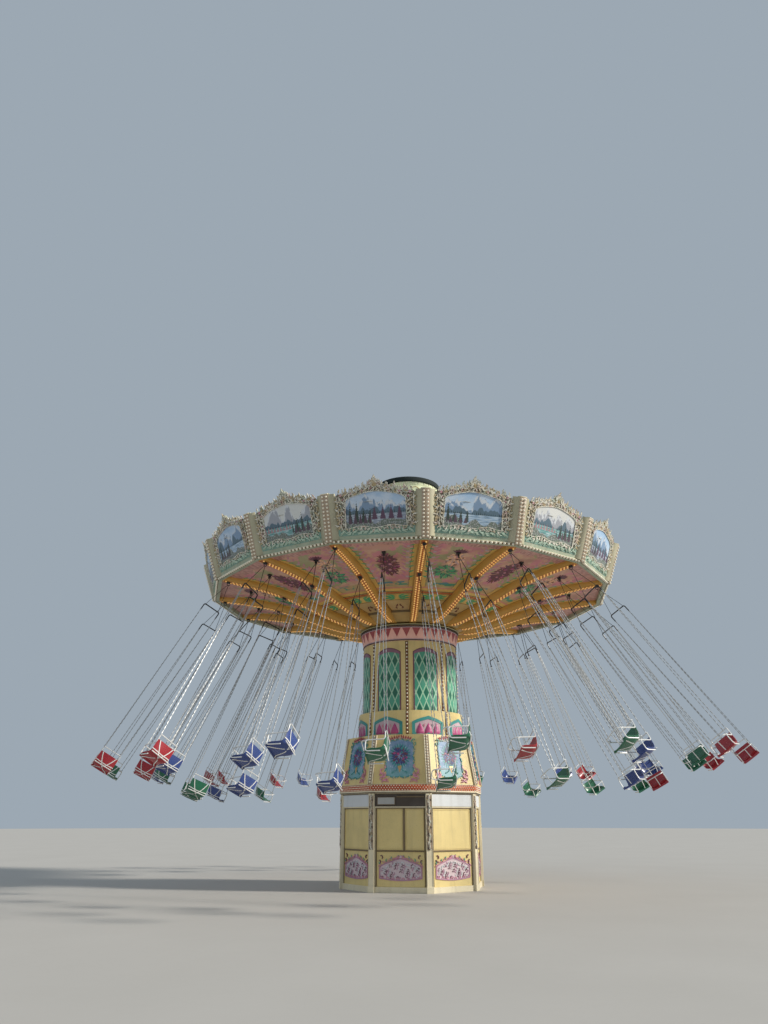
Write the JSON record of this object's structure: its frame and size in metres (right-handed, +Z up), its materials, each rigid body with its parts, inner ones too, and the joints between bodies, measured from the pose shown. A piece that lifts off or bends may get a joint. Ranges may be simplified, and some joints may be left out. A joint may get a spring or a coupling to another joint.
{
  "type": "chair swing ride",
  "caption": "Chair swing ride: octagonal base, turning and rising column, and a sixteen-sided carved crown whose arms carry chairs on chains, shown raised and in flight.",
  "frame": {"origin": "on the column's axis at ground level, on the base floor's underside", "axes": "+Z up the column; -Y out of the base's front face"},
  "size_m": [18.4037, 18.4066, 12.2353],
  "materials": {
    "cream_paint": "satin cream paint, a little chalked",
    "yellow_panel": "pale yellow painted panel",
    "band_white": "off-white painted band",
    "machine_steel": "grey machine paint",
    "gold_paint": "ochre gold paint",
    "gilding": "gilded carving, aged",
    "dusty_pink": "dusty pink paint with darker red triangles",
    "sage_board": "sage and cream painted carved board",
    "carving_cream": "cream painted carving with pink and green tints",
    "picture_paint": "painted landscape in blues and greens",
    "blue_field": "blue painted field with flowers",
    "mauve_paint": "mauve painted frame",
    "teal_paint": "teal painted arch",
    "green_diamonds": "green diamond pattern",
    "orange_ring": "brown orange paint",
    "ceiling_paint": "gold ceiling boards with painted borders",
    "arm_paint": "gold painted steel sweep",
    "roof_canvas": "weathered roof canvas",
    "cupola_paint": "pale yellow green paint",
    "lid_paint": "dark green black paint",
    "chain_steel": "galvanised chain",
    "black_steel": "black painted steel",
    "white_tube": "white painted tube",
    "chair_red": "red moulded seat",
    "chair_green": "green moulded seat",
    "chair_blue": "blue moulded seat",
    "bulb_white": "cream frosted lamp cap",
    "bulb_amber": "amber lamp cap"
  },
  "bodies": {
    "base": {"base_floor": "machine_steel", "base_frame": "cream_paint", "wall_panel_1": "yellow_panel", "wall_panel_2": "yellow_panel", "wall_panel_3": "yellow_panel", "wall_panel_4": "yellow_panel", "wall_panel_5": "yellow_panel", "wall_panel_6": "yellow_panel", "wall_panel_7": "yellow_panel", "wall_panel_8": "yellow_panel", "base_cornice": "cream_paint", "skirt": "yellow_panel"},
    "column": {"turntable": "machine_steel", "lower_drum": "yellow_panel"},
    "tower": {"mast": "machine_steel", "upper_drum": "yellow_panel", "collar": "dusty_pink"},
    "crown": {"crown_hub": "machine_steel", "ceiling": "ceiling_paint", "swing_arm_01": "arm_paint", "swing_arm_02": "arm_paint", "swing_arm_03": "arm_paint", "swing_arm_04": "arm_paint", "swing_arm_05": "arm_paint", "swing_arm_06": "arm_paint", "swing_arm_07": "arm_paint", "swing_arm_08": "arm_paint", "swing_arm_09": "arm_paint", "swing_arm_10": "arm_paint", "swing_arm_11": "arm_paint", "swing_arm_12": "arm_paint", "swing_arm_13": "arm_paint", "swing_arm_14": "arm_paint", "swing_arm_15": "arm_paint", "swing_arm_16": "arm_paint", "rounding_boards_1": "sage_board", "rounding_boards_2": "sage_board", "rounding_boards_3": "sage_board", "rounding_boards_4": "sage_board", "roof": "roof_canvas", "cupola_drum": "cupola_paint", "cupola_lid": "lid_paint"}
  },
  "joints": [
    {"name": "column_turn", "type": "hinge", "parent": "base", "child": "column", "pos_m": [0, 0, 0.5], "axis": [0, 0, 1], "continuous": true},
    {"name": "column_lift", "type": "slide", "parent": "column", "child": "tower", "axis": [0, 0, 1], "range_m": [-1.45, 0]},
    {"name": "crown_turn", "type": "hinge", "parent": "tower", "child": "crown", "pos_m": [0, 0, 7], "axis": [0, 0, 1], "continuous": true}
  ]
}
